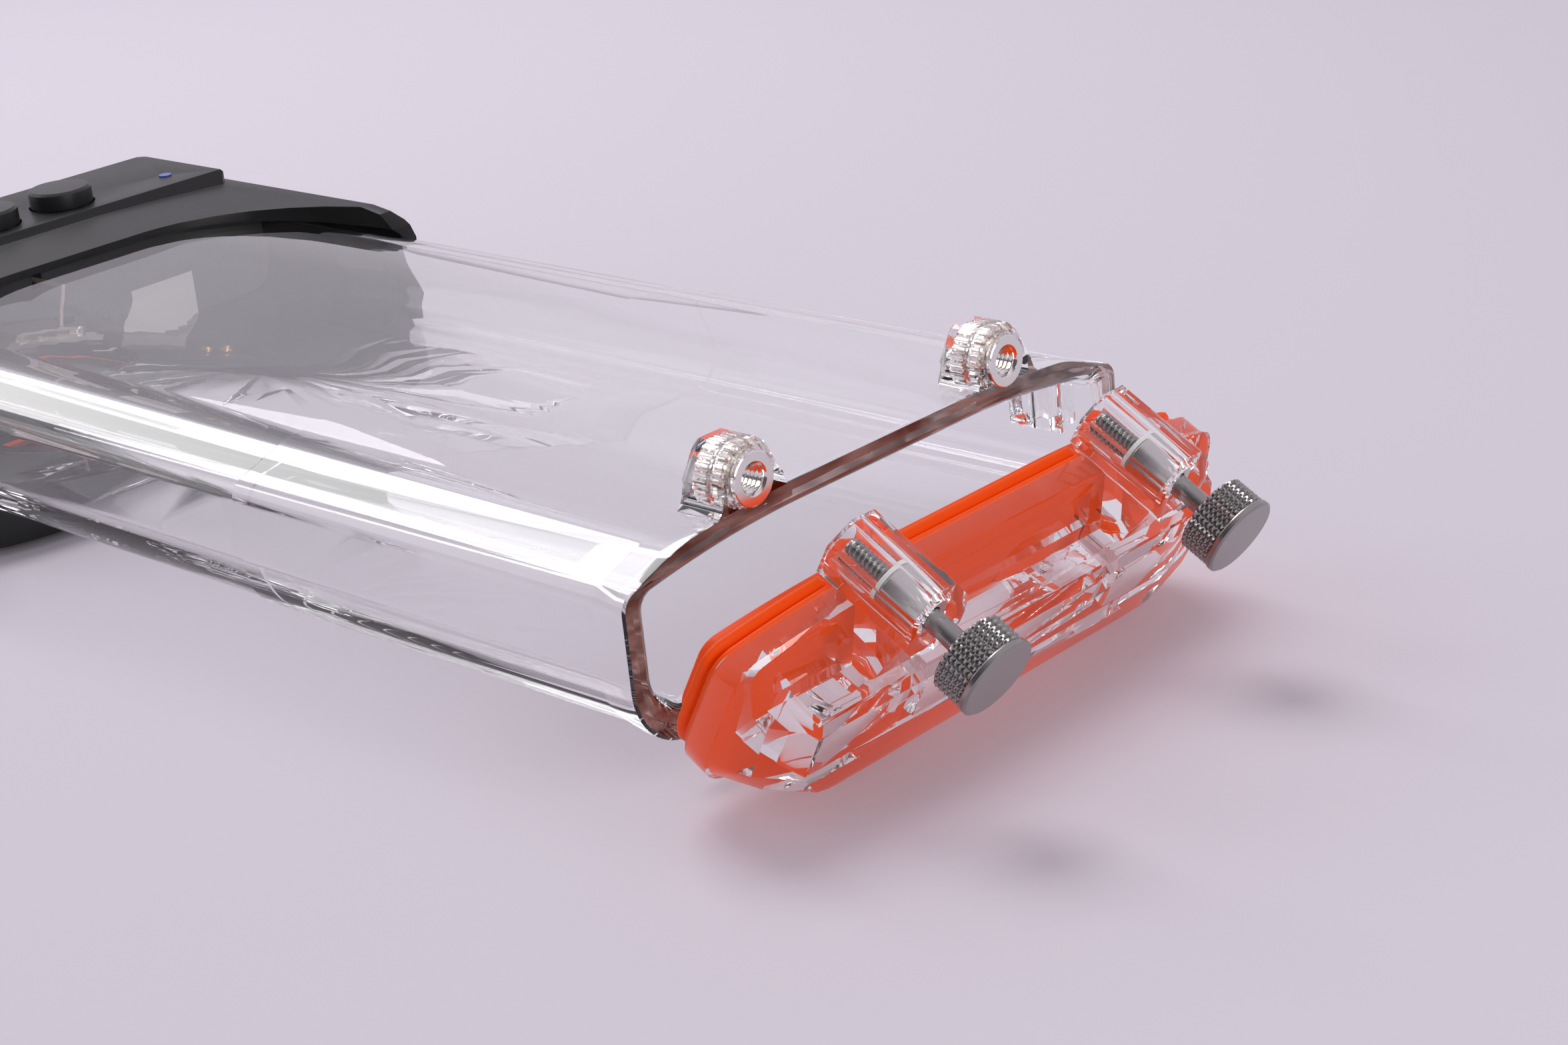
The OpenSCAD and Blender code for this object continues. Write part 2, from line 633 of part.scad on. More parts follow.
// Window in the base: glass on a gasket, held up by a threaded ring from below
ring_h = 2;
module camera_well() {
    translate([-glass_x, glass_y, base_z - 1]) {
        cylinder(r = glass_r - 1.6, h = 30, $fn = round_fn);
        cylinder(r = glass_r + seat, h = 1 + ring_h + glass_t + 0.8, $fn = round_fn);
        cylinder(r = glass_r + 2 + seat, h = 1 + ring_h, $fn = round_fn);
    }
}
module camera_glass() {
    color([0.75, 0.82, 0.85, 0.4]) translate([-glass_x, glass_y, base_z + ring_h + seat])
        cylinder(r = glass_r, h = glass_t, $fn = round_fn);
}
module glass_gasket() {
    color([0.9, 0.35, 0.08]) translate([-glass_x, glass_y, base_z + ring_h + glass_t + 2 * seat])
        difference() {
            cylinder(r = glass_r - 0.1, h = 0.7, $fn = round_fn);
            translate([0, 0, -1]) cylinder(r = glass_r - 1.6, h = 3, $fn = round_fn);
        }
}
module glass_ring() {
    color([0.12, 0.12, 0.13]) translate([-glass_x, glass_y, base_z]) difference() {
        cylinder(r = glass_r + 2, h = ring_h, $fn = round_fn);
        translate([0, 0, -1]) cylinder(r = glass_r - 1.6, h = 5, $fn = round_fn);
        for (a = [0:90:270]) rotate(a) translate([glass_r + 0.2, 0, -1])
            cylinder(r = 0.7, h = 2.2, $fn = 24);
    }
}

// Two rubber strips that the head stands on
module head_feet() {
    foot_hw = 3.5;
    color([0.1, 0.1, 0.1]) for (side = [-1, 1]) translate([0, side * (head_hw - 13), table_z])
        linear_extrude(foot_t) hull() for (x = [-head_end_x + 14, -wing_x - 18])
            translate([x, 0]) circle(r = foot_hw, $fn = fine_fn);
}

// Self-tapping screws that hold the base to the cover
module base_screws() {
    color([0.35, 0.35, 0.36]) for (p = boss_points()) translate([p[0], p[1], base_z + 2.2])
        difference() {
            union() {
                cylinder(r = 2.5, h = 1.7, $fn = 24);
                cylinder(r = 1.15, h = parting_z - base_z + 2, $fn = 24);
            }
            translate([0, 0, -1]) cylinder(r = 1.1, h = 1.8, $fn = 6);
        }
}

module status_light() {
    color([0.2, 0.35, 0.9]) translate([-button_x + 2, 38, panel_z - 4]) {
        cylinder(r = 1.2, h = 4.2, $fn = fine_fn);
    }
}

// Black stop across the bay, with a window for the contact block
block_y = [-17, 3];
block_h = 6.7;
module bay_stop() {
    color([0.09, 0.09, 0.1]) difference() {
        along_x(-bay_len - 2.4, -bay_len) polygon(bay_outline(0.15));
        translate([-bay_len - 5, block_y[0] - 1, -bay_h / 2 - 1])
            cube([10, block_y[1] - block_y[0] + 2, block_h + 1.5]);
        translate([-bay_len - 5, lead_y - 1, lead_z - 1]) cube([10, 2, 20]);
    }
}

// Bright connector block that stands in the stop's window
module contact_block() {
    block_w = block_y[1] - block_y[0];
    color([0.75, 0.74, 0.72]) translate([-bay_len, block_y[0], -bay_h / 2 + seat]) difference() {
        union() {
            translate([-6, 0, 0.8]) cube([17, block_w, 2.2]);
            translate([-6, 1, 0]) cube([15, block_w - 2, 1]);
            translate([0, 3, 2.9]) cube([10, 12, block_h - 2.9]);
            for (i = [0:4]) translate([9.8, 1.2 + i * 3.8, 2.9]) cube([1.2, 2, 1.4]);
            translate([6, block_w - 2.6, 2.9]) cylinder(r = 1.8, h = 3, $fn = fine_fn);
        }
        translate([5, 4.5, 4.2]) cube([6, 9, 1.6]);
    }
}

// Two gold pins in the floor that sense water
module leak_pins() {
    color([0.95, 0.75, 0.35]) for (k = [0, 1])
        translate([-bay_len + 24.5, 15.5 + 4 * k, -bay_h / 2 + seat]) {
            cylinder(r = 1.1, h = 0.8, $fn = 24);
            cylinder(r = 0.6, h = 1.3, $fn = 24);
        }
}

// Thin lead from the contact block up to the circuit board
lead_y = -4;
lead_z = 6.2;
module sensor_wire() {
    lead_r = 0.35;
    block_z = -bay_h / 2 + block_h + 0.1;
    lead_x = [-bay_len - 12, -bay_len + 8];
    color([0.75, 0.6, 0.5]) {
        translate([lead_x[1], lead_y, block_z]) cylinder(r = lead_r, h = lead_z - block_z, $fn = 16);
        translate([0, lead_y, lead_z])
            rod_x(lead_x[0] - lead_r, lead_x[1] + lead_r, lead_r, 16);
        translate([lead_x[0], lead_y, pcb_top_z + 0.05])
            cylinder(r = lead_r, h = lead_z - pcb_top_z, $fn = 16);
    }
}

module circuit_board() {
    board_x = [-shell_len + end_t + 1, -bay_len - 10];
    board_hw = bay_w / 2 - 6;
    color([0.05, 0.25, 0.16]) {
        translate([board_x[0], -board_hw, pcb_top_z - pcb_t])
            cube([board_x[1] - board_x[0], 2 * board_hw, pcb_t]);
        translate([board_x[0] + 6, 26, pcb_top_z - eps]) cube([7, 7, 1.2]);
        translate([board_x[0] + 2, 2 - board_hw, pcb_top_z - eps]) cube([4, 3, 1]);
        for (side = [-1, 1]) translate([board_x[0] + 4, side * (board_hw - 4), -bay_h / 2])
            cylinder(r = 2, h = bay_h / 2 + pcb_top_z - pcb_t + eps, $fn = 24);
    }
}

// One push switch on the board under each button
module tact_switches() {
    color([0.2, 0.2, 0.2]) for (i = [0:button_count - 1]) translate([0, 0, pcb_top_z - panel_z])
        at_button(i) {
            translate([-3, -3, 0]) cube([6, 6, switch_h - 1]);
            cylinder(r = 1.6, h = switch_h, $fn = 24);
        }
}

module battery() {
    cell_h = 7;
    color([0.6, 0.62, 0.66]) translate([-bay_len - 18, 0, -bay_h / 2 + cell_h / 2])
        rotate([90, 0, 0]) linear_extrude(bay_w * 0.6, center = true) hull()
            for (k = [-1, 1]) translate([k * 4.5, 0]) circle(r = cell_h / 2, $fn = fine_fn);
}

// Button with its stem, drawn from the panel upwards
stem_len = panel_z - pcb_top_z - switch_h - button_travel - 0.3;
module button(i) {
    color([0.1, 0.1, 0.105]) at_button(i) difference() {
        union() {
            cylinder(r = button_r, h = button_rise - 0.5, $fn = round_fn);
            translate([0, 0, button_rise - 0.5])
                cylinder(r1 = button_r, r2 = button_r - 0.5, h = 0.5, $fn = round_fn);
            translate([0, 0, -stem_len]) cylinder(r = stem_r, h = stem_len + 1, $fn = fine_fn);
        }
        translate([0, 0, -eps]) difference() {
            cylinder(r = button_r - 1.2, h = button_rise - 1.4, $fn = round_fn);
            translate([0, 0, -1]) cylinder(r = stem_r + 0.1, h = 6, $fn = fine_fn);
        }
        translate([0, 0, -groove_z - 1]) difference() {
            cylinder(r = 3, h = 1, $fn = fine_fn);
            translate([0, 0, -1]) cylinder(r = stem_r - 0.5, h = 3, $fn = fine_fn);
        }
    }
}
module button_1() { button(0); }
module button_2() { button(1); }
module button_3() { button(2); }
module button_4() { button(3); }

// O-ring in the stem's groove
groove_z = panel_rise + 1.4;
module button_seal(i) {
    cord_r = 0.26;
    color([0.08, 0.08, 0.08]) at_button(i) translate([0, 0, -groove_z - 0.5])
        rotate_extrude($fn = fine_fn) translate([stem_r - 0.2, 0]) circle(r = cord_r, $fn = 16);
}
module button_seal_1() { button_seal(0); }
module button_seal_2() { button_seal(1); }
module button_seal_3() { button_seal(2); }
module button_seal_4() { button_seal(3); }

// Coil spring round the stem, under the button
spring_r = 3;
spring_wire = 0.3;
spring_turns = 3;
spring_base = -1.65;
spring_top = button_rise - 1.5;
function coil_point(t) = let (a = 360 * spring_turns * t)
    [spring_r * cos(a), spring_r * sin(a),
        spring_base + spring_wire + (spring_top - spring_base - 2 * spring_wire) * t];
function coil_ring(t, sides) = let (a = 360 * spring_turns * t, c = coil_point(t))
    [for (k = [0:sides - 1]) let (b = 360 * k / sides)
        c + spring_wire * [cos(b) * cos(a), cos(b) * sin(a), sin(b)]];
module button_spring(i) {
    sides = 6;
    rings = 12 * spring_turns;
    pts = [for (j = [0:rings]) each coil_ring(j / rings, sides)];
    walls = [for (j = [0:rings - 1]) for (k = [0:sides - 1]) let (k2 = (k + 1) % sides)
        [j * sides + k, j * sides + k2, (j + 1) * sides + k2, (j + 1) * sides + k]];
    ends = [[for (k = [sides - 1:-1:0]) k], [for (k = [0:sides - 1]) rings * sides + k]];
    color([0.7, 0.7, 0.72]) at_button(i) polyhedron(pts, concat(walls, ends));
}
module button_spring_1() { button_spring(0); }
module button_spring_2() { button_spring(1); }
module button_spring_3() { button_spring(2); }
module button_spring_4() { button_spring(3); }

housing_shell();
insert_near();
insert_far();
hinge_pin_near();
hinge_pin_far();
cap_plate();
cap_seal();
bush_near();
bush_far();
slip_ring_near();
slip_ring_far();
thumb_screw_near();
thumb_screw_far();
head_cover();
head_base();
head_feet();
base_screws();
camera_glass();
glass_ring();
glass_gasket();
status_light();
bay_stop();
contact_block();
leak_pins();
sensor_wire();
circuit_board();
tact_switches();
battery();
button_1();
button_2();
button_3();
button_4();
button_spring_1();
button_spring_2();
button_spring_3();
button_spring_4();
button_seal_1();
button_seal_2();
button_seal_3();
button_seal_4();
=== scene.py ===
# Waterproof phone case: looks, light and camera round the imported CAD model.
# Sizes in the piece builders are in mm, and Blender's own are in metres.

import json
import math

import bpy
import bmesh
from mathutils import Matrix, Vector

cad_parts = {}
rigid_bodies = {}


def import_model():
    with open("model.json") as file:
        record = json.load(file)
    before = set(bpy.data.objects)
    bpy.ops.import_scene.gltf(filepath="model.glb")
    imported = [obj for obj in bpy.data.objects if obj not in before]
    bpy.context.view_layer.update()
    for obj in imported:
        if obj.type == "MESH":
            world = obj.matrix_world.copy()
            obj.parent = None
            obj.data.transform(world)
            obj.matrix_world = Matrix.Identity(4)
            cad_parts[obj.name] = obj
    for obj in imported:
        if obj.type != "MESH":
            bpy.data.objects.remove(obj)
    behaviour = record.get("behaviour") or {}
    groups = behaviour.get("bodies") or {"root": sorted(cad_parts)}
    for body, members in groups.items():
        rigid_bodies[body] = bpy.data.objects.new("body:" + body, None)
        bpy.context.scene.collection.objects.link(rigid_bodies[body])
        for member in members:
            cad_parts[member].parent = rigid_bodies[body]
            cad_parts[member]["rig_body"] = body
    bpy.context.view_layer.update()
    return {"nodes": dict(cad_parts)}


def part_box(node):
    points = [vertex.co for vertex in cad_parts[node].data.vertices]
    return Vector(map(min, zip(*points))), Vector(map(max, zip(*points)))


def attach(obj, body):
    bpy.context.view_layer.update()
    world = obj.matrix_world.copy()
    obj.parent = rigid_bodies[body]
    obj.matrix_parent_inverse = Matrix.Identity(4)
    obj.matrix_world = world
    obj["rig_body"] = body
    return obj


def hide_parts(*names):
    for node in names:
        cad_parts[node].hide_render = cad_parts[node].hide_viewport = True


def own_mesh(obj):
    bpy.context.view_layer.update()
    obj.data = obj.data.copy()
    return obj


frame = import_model()
nodes = frame["nodes"]
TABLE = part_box("head_feet")[0].z

MM = 0.001
# X and Z of the cap's hinge, and the cap's angle in the photograph
HINGE = (-2.2, -14.35)
OPEN = math.radians(30.2)
# Distance of the screws from the middle plane, and height of their axes with the cap shut
SCREW_Y, SCREW_Z = 25.55, 15.35
# Distance of the two hinges from the middle plane
HINGE_Y = 28
# X of the strap loop's eye
LOOP_X = -13.5
# Pitch of the screws' thread
PITCH = 0.7


# Materials

def principled(name, color, rough, metal=0.0, **more):
    m = bpy.data.materials.new(name)
    m.use_nodes = True
    b = bsdf(m)
    b.inputs["Base Color"].default_value = (*color, 1)
    b.inputs["Roughness"].default_value = rough
    b.inputs["Metallic"].default_value = metal
    for k, v in more.items():
        b.inputs[k].default_value = v
    return m


def bsdf(m):
    return m.node_tree.nodes["Principled BSDF"]


def add(nt, kind, **inputs):
    """A new shader node with the given values in its sockets; an underscore stands for a space."""
    node = nt.nodes.new("ShaderNode" + kind)
    for k, v in inputs.items():
        node.inputs[k.replace("_", " ")].default_value = v
    return node


def color_ramp(nt, *stops):
    ramp = add(nt, "ValToRGB")
    for element, (position, color) in zip(ramp.color_ramp.elements, stops):
        element.position = position
        element.color = (*color, 1)
    return ramp


def clear_plastic(name, tint=(0.985, 0.988, 0.99), rough=0.0, ior=1.58, **more):
    """Glass-like plastic. Shadows and scattered light pass straight through it, a little dimmed."""
    m = principled(name, tint, rough, **{"Transmission Weight": 1.0, "IOR": ior}, **more)
    nt = m.node_tree
    path = add(nt, "LightPath")
    either = add(nt, "Math")
    either.operation = "MAXIMUM"
    through = add(nt, "BsdfTransparent", Color=(0.955, 0.955, 0.955, 1))
    mix = add(nt, "MixShader")
    nt.links.new(path.outputs["Is Shadow Ray"], either.inputs[0])
    nt.links.new(path.outputs["Is Diffuse Ray"], either.inputs[1])
    nt.links.new(either.outputs[0], mix.inputs["Fac"])
    nt.links.new(bsdf(m).outputs["BSDF"], mix.inputs[1])
    nt.links.new(through.outputs["BSDF"], mix.inputs[2])
    nt.links.new(mix.outputs["Shader"], nt.nodes["Material Output"].inputs["Surface"])
    return m


def tint_and_painted_streaks(m, clearness):
    """Uneven brown streaks and less clearness, for the cut edge of a thick clear wall. The dark brown
    and the streaks are painted shade and painted reflections of the light that runs along inside the
    wall, laid over the plastic's own brown tint.
    """
    nt = m.node_tree
    coord = add(nt, "TexCoord")
    stretch = add(nt, "Mapping", Scale=(60, 60, 260))
    noise = add(nt, "TexNoise", Scale=1.6, Detail=5)
    # Dark and light brown of the rim's streaks: painted shade and painted reflection of light inside the
    # wall
    ramp = color_ramp(nt, (0.36, (0.10, 0.065, 0.055)), (0.68, (0.52, 0.39, 0.35)))
    nt.links.new(coord.outputs["Object"], stretch.inputs["Vector"])
    nt.links.new(stretch.outputs["Vector"], noise.inputs["Vector"])
    nt.links.new(noise.outputs[0], ramp.inputs[0])
    nt.links.new(ramp.outputs["Color"], bsdf(m).inputs["Base Color"])
    bsdf(m).inputs["Transmission Weight"].default_value = clearness


def grain(m, size, depth, spread, stretch=(1, 1, 1)):
    """Fine surface grain of about the given size in mm, and a slow change of gloss."""
    nt = m.node_tree
    b = bsdf(m)
    middle = b.inputs["Roughness"].default_value
    coord = add(nt, "TexCoord")
    scaled = add(nt, "Mapping", Scale=stretch)
    fine = add(nt, "TexNoise", Scale=1000 / size, Detail=3)
    bump = add(nt, "Bump", Strength=depth, Distance=0.0001)
    slow = add(nt, "TexNoise", Scale=45, Detail=4)
    gloss = add(nt, "MapRange", To_Min=middle - spread, To_Max=middle + spread)
    nt.links.new(coord.outputs["Object"], scaled.inputs["Vector"])
    nt.links.new(scaled.outputs["Vector"], fine.inputs["Vector"])
    nt.links.new(fine.outputs[0], bump.inputs["Height"])
    nt.links.new(bump.outputs["Normal"], b.inputs["Normal"])
    nt.links.new(coord.outputs["Object"], slow.inputs["Vector"])
    nt.links.new(slow.outputs[0], gloss.inputs["Value"])
    nt.links.new(gloss.outputs["Result"], b.inputs["Roughness"])


CLEAR = clear_plastic("clear polycarbonate")
CLEAR_CAP = clear_plastic("clear cap", ior=1.42, **{"Specular IOR Level": 0.25})
# Rim face brown: partly the plastic's own tint, partly painted shade; its streaks are added below.
RIM = clear_plastic("rim tint and painted streaks", (0.3, 0.21, 0.185), 0.12)
PAPER = principled("bare plate", (0.75, 0.74, 0.73), 0.6)
SILICONE = principled("orange silicone", (0.98, 0.085, 0.001), 0.45, **{"Specular IOR Level": 0.15})
STEEL = principled("turned steel", (0.34, 0.33, 0.32), 0.24, 1.0)
BUSH = principled("satin steel", (0.62, 0.60, 0.58), 0.17, 1.0)
NICKEL = principled("nickel", (0.85, 0.83, 0.8), 0.14, 1.0)
BLACK = principled("black cover", (0.007, 0.007, 0.0075), 0.4, **{"Specular IOR Level": 0.35})
BLACK_BASE = principled("black base", (0.007, 0.007, 0.0075), 0.45, **{"Specular IOR Level": 0.35})
BUTTON = principled("black button", (0.014, 0.014, 0.015), 0.4)
RUBBER = principled("black rubber", (0.015, 0.015, 0.015), 0.7)
DARK_ALU = principled("black aluminium", (0.02, 0.02, 0.022), 0.35, 1.0)
GLASS = clear_plastic("window glass", (0.95, 0.97, 0.98), 0.0, 1.52)
STOP = principled("stop plastic", (0.05, 0.05, 0.053), 0.5)
CONNECTOR = principled("connector metal", (0.75, 0.72, 0.68), 0.3, 1.0)
GOLD = principled("gold", (0.95, 0.62, 0.25), 0.25, 1.0)
WIRE = principled("lead", (0.6, 0.5, 0.45), 0.5)
BOARD = principled("board", (0.01, 0.07, 0.035), 0.4)
SWITCH = principled("switch", (0.04, 0.04, 0.04), 0.5)
FOIL = principled("battery", (0.5, 0.52, 0.56), 0.35, 1.0)
NYLON = principled("nylon", (0.85, 0.85, 0.82), 0.4)
LIGHT = principled("light pipe", (0.05, 0.12, 0.5), 0.2)

# Painted shade and painted reflection streaks on the rim's cut face, over the plastic's own brown tint
tint_and_painted_streaks(RIM, 0.6)
for m in (BLACK, BLACK_BASE, BUTTON, STOP, RUBBER, SWITCH):
    grain(m, 0.35, 0.22, 0.09)
for m in (SILICONE, NYLON, PAPER, WIRE, BOARD):
    grain(m, 0.8, 0.06, 0.06)
for m in (STEEL, BUSH, DARK_ALU, FOIL, CONNECTOR, GOLD):
    grain(m, 0.4, 0.1, 0.06, (0.15, 1, 1))

LOOKS = {
    "housing_shell": CLEAR, "cap_plate": CLEAR_CAP, "cap_seal": SILICONE,
    "insert_near": NICKEL, "insert_far": NICKEL, "hinge_pin_near": BUSH, "hinge_pin_far": BUSH,
    "bush_near": BUSH, "bush_far": BUSH, "slip_ring_near": NYLON, "slip_ring_far": NYLON,
    "thumb_screw_near": STEEL, "thumb_screw_far": STEEL, "head_cover": BLACK,
    "head_base": BLACK_BASE, "head_feet": RUBBER, "base_screws": STEEL, "camera_glass": GLASS,
    "glass_ring": DARK_ALU, "glass_gasket": SILICONE, "status_light": LIGHT, "bay_stop": STOP,
    "contact_block": CONNECTOR, "leak_pins": GOLD, "sensor_wire": WIRE, "circuit_board": BOARD,
    "tact_switches": SWITCH, "battery": FOIL,
}
for i in range(1, 5):
    LOOKS[f"button_{i}"] = BUTTON
    LOOKS[f"button_spring_{i}"] = BUSH
    LOOKS[f"button_seal_{i}"] = RUBBER
for name, piece in nodes.items():
    piece.data.materials.clear()
    piece.data.materials.append(LOOKS[name])


# Geometry helpers

def arc(cy, cz, r, a0, a1, n):
    """Points [(y, z)] on an arc from a0 to a1 degrees, in n steps."""
    return [(cy + r * math.cos(math.radians(a0 + (a1 - a0) * i / n)),
             cz + r * math.sin(math.radians(a0 + (a1 - a0) * i / n))) for i in range(n + 1)]


def outline(hw, zt, zb, rl, ru, drop):
    """Closed outline in the Y-Z plane: half width, top, bottom, lower and upper corner radius,
    and fall of the crowned top from its middle to its sides."""
    flat, nl, nu, nc = 17.0, 16, 10, 22
    tilt = math.degrees(math.atan2(2 * drop, hw - flat))
    ye = hw - ru * (1 - math.sin(math.radians(tilt)))
    zs = zt - drop
    side = arc(hw - rl, zb + rl, rl, -90, 0, nl)
    side += arc(hw - ru, zs - ru * math.cos(math.radians(tilt)), ru, 0, 90 - tilt, nu)
    for i in range(1, nc + 1):
        y = ye + (flat - ye) * i / nc
        side.append((y, zt - drop * ((y - flat) / (ye - flat)) ** 2))
    return side + [(-y, z) for y, z in reversed(side)]


def body_outline(inset):
    """The housing's outline: a nearly flat roof, then a straight sloped shoulder on each side."""
    hw, zb, rl, ru, tilt = 50.1 - inset, -14.35 + inset, 9.5 - inset / 2, 2.6, 19.5
    top, flat, shoulder = 12.85, 10, 40.5
    side = arc(hw - rl, zb + rl, rl, -90, 0, 16)
    side += arc(hw - ru, 5.55, ru, 0, 90 - tilt, 10)
    y0, z0 = side[-1]
    slope = math.tan(math.radians(tilt))
    for k in range(1, 5):
        y = y0 + (shoulder - y0) * k / 4
        side.append((y, z0 + (y0 - y) * slope))
    y1 = side[-1][0]
    for k in range(1, 7):
        low = slope + (0.13 - slope) * k / 6
        side.append((y1 - 0.6 * k, side[-1][1] + 0.6 * low))
    y2, z2 = side[-1]
    for k in range(1, 13):
        y = y2 + (flat - y2) * k / 12
        side.append((y, top - (top - z2) * ((y - flat) / (y2 - flat)) ** 2))
    return side + [(-y, z) for y, z in reversed(side)]


def bay_outline(inset):
    return outline(46 - inset, 8.95 - inset, -8.95 + inset, 5.1 - inset / 2, 2.5, 2.4)


def cap_outline(inset):
    return outline(48.6 - inset, 12.25 - inset, -13.25 + inset, 8.5 - inset / 2, 3.5, 3.4)


def mesh_object(name, verts, faces, material, smooth):
    me = bpy.data.meshes.new(name)
    me.from_pydata([tuple(c * MM for c in v) for v in verts], [], faces)
    me.validate()
    o = bpy.data.objects.new(name, me)
    bpy.context.scene.collection.objects.link(o)
    outward(me)
    if material:
        me.materials.append(material)
    shade(o, smooth)
    return o


def outward(me):
    b = bmesh.new()
    b.from_mesh(me)
    bmesh.ops.recalc_face_normals(b, faces=b.faces)
    b.to_mesh(me)
    b.free()


def shade(o, angle):
    for p in o.data.polygons:
        p.use_smooth = True
    o.data.set_sharp_from_angle(angle=math.radians(angle))


def side_faces(rows, n, closed=False):
    """Quads between rows of n points each; closed joins the last row to the first."""
    return [(s * n + i, s * n + (i + 1) % n, (s + 1) % rows * n + (i + 1) % n, (s + 1) % rows * n + i)
            for s in range(rows if closed else rows - 1) for i in range(n)]


def end_faces(rows, n):
    last = (rows - 1) * n
    return [tuple(range(n)), tuple(range(last, last + n))]


def loft(name, sections, material, smooth=35):
    """Closed solid through sections [(x, outline)], all with the same number of points."""
    rows, n = len(sections), len(sections[0][1])
    verts = [(x, y, z) for x, loop in sections for y, z in loop]
    return mesh_object(name, verts, side_faces(rows, n) + end_faces(rows, n), material, smooth)


def turned(profile, steps, y, z):
    """Points round the X axis at y and z, from profile [(x, r)]; r may be a function of the angle."""
    verts = []
    for x, r in profile:
        for k in range(steps):
            a = 2 * math.pi * k / steps
            q = r(a) if callable(r) else r
            verts.append((x, y + q * math.cos(a), z + q * math.sin(a)))
    return verts


def lathe(name, profile, material, steps, y=0.0, z=0.0, smooth=35):
    """Closed solid of revolution."""
    rows = len(profile)
    faces = side_faces(rows, steps) + end_faces(rows, steps)
    return mesh_object(name, turned(profile, steps, y, z), faces, material, smooth)


def ring_lathe(name, profile, material, steps, y, z, smooth=35):
    """Hollow solid of revolution, whose profile is a closed loop."""
    faces = side_faces(len(profile), steps, True)
    return mesh_object(name, turned(profile, steps, y, z), faces, material, smooth)


def prism(name, points, x0, x1):
    """Solid between x0 and x1 with the outline points [(y, z)]."""
    return loft(name, [(x0, points), (x1, points)], None, 20)


def rod_x(name, x0, x1, r, y, z):
    return lathe(name, [(x0, r), (x1, r)], None, 40, y, z)


def rod_y(name, y0, y1, r):
    """Rod on the hinge's axis."""
    o = lathe(name, [(y0, r), (y1, r)], None, 32)
    axis = Matrix.Translation(Vector((HINGE[0], 0, HINGE[1])) * MM)
    o.data.transform(axis @ Matrix.Rotation(math.pi / 2, 4, "Z"))
    return o


def rod_z(name, x, y, z0, z1, r):
    o = lathe(name, [(z0, r), (z1, r)], None, 40)
    axis = Matrix.Translation(Vector((x, y, 0)) * MM)
    o.data.transform(axis @ Matrix.Rotation(-math.pi / 2, 4, "Y"))
    return o


def hull(name, points, material=None):
    b = bmesh.new()
    for p in points:
        b.verts.new([c * MM for c in p])
    bmesh.ops.convex_hull(b, input=b.verts)
    for v in [v for v in b.verts if not v.link_faces]:
        b.verts.remove(v)
    bmesh.ops.dissolve_limit(b, angle_limit=0.01, verts=b.verts, edges=b.edges)
    me = bpy.data.meshes.new(name)
    b.to_mesh(me)
    b.free()
    o = bpy.data.objects.new(name, me)
    bpy.context.scene.collection.objects.link(o)
    outward(me)
    if material:
        me.materials.append(material)
    return o


def cut(o, tool, operation="DIFFERENCE"):
    """Adds tool to o, or takes it away, and removes tool."""
    mod = o.modifiers.new("cut", "BOOLEAN")
    mod.operation, mod.object, mod.solver = operation, tool, "EXACT"
    settle(o)
    bpy.data.objects.remove(tool)


def settle(o):
    """Turns the modifiers of o into its own mesh."""
    dg = bpy.context.evaluated_depsgraph_get()
    me = bpy.data.meshes.new_from_object(o.evaluated_get(dg))
    o.modifiers.clear()
    o.data = me


def bevel(o, width, segments, angle):
    mod = o.modifiers.new("bevel", "BEVEL")
    mod.width, mod.segments = width * MM, segments
    mod.limit_method, mod.angle_limit = "ANGLE", math.radians(angle)
    mod.use_clamp_overlap = True
    mod.miter_outer = "MITER_ARC"
    settle(o)
    shade(o, 30)


def copy_of(node, material):
    """A copy of a CAD node with its flat faces joined, for finer edges."""
    b = bmesh.new()
    b.from_mesh(nodes[node].data)
    bmesh.ops.remove_doubles(b, verts=b.verts, dist=2e-6)
    bmesh.ops.dissolve_limit(b, angle_limit=math.radians(1), verts=b.verts, edges=b.edges)
    me = bpy.data.meshes.new(node + "_look")
    b.to_mesh(me)
    b.free()
    me.materials.append(material)
    o = bpy.data.objects.new(node + "_look", me)
    bpy.context.scene.collection.objects.link(o)
    return o


def turn_cap(o, angle):
    """Turns a piece about the cap's hinge; OPEN takes it from the shut cap to the photograph's."""
    about = Matrix.Translation(Vector((HINGE[0], 0, HINGE[1])) * MM)
    o.data.transform(about @ Matrix.Rotation(angle, 4, "Y") @ about.inverted())
    return o


def stands_for(o, node):
    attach(o, nodes[node]["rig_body"])
    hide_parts(node)
    return o


# Clear housing

def shards():
    """Long shallow leaves under the floor that spread from one place, as the photograph shows."""
    cx, cy, top = -150.0, 12.0, -12.6
    leaves = []
    for i in range(19):
        a = math.radians(-118 + 11.6 * i + 3 * ((i * 3) % 4 - 1.5) / 1.5)
        start, length = 4 + 5 * (i % 3), 34 + 42 * ((i * 5) % 7) / 6
        side = 3.2 + 1.6 * ((i * 2) % 5) / 4
        along = (math.cos(a), math.sin(a))
        edge = 38 * (1 if along[1] > 0 else -1) - cy
        if abs(along[1]) > 0.02:
            length = min(length, edge / along[1])
        mid = start + 0.5 * (length - start)
        low = -14.3 + 0.25 * (i % 3)
        flat = [(start, 0), (length, 0), (mid, side), (mid + 6, -side)]
        pts = [(cx + r * along[0] - s * along[1], cy + r * along[1] + s * along[0], z)
               for r, s in flat for z in (-13.2, top)]
        r, s = mid + 3, 0.3 * side
        pts.append((cx + r * along[0] - s * along[1], cy + r * along[1] + s * along[0], low))
        leaves.append(hull("leaf", pts))
    return leaves


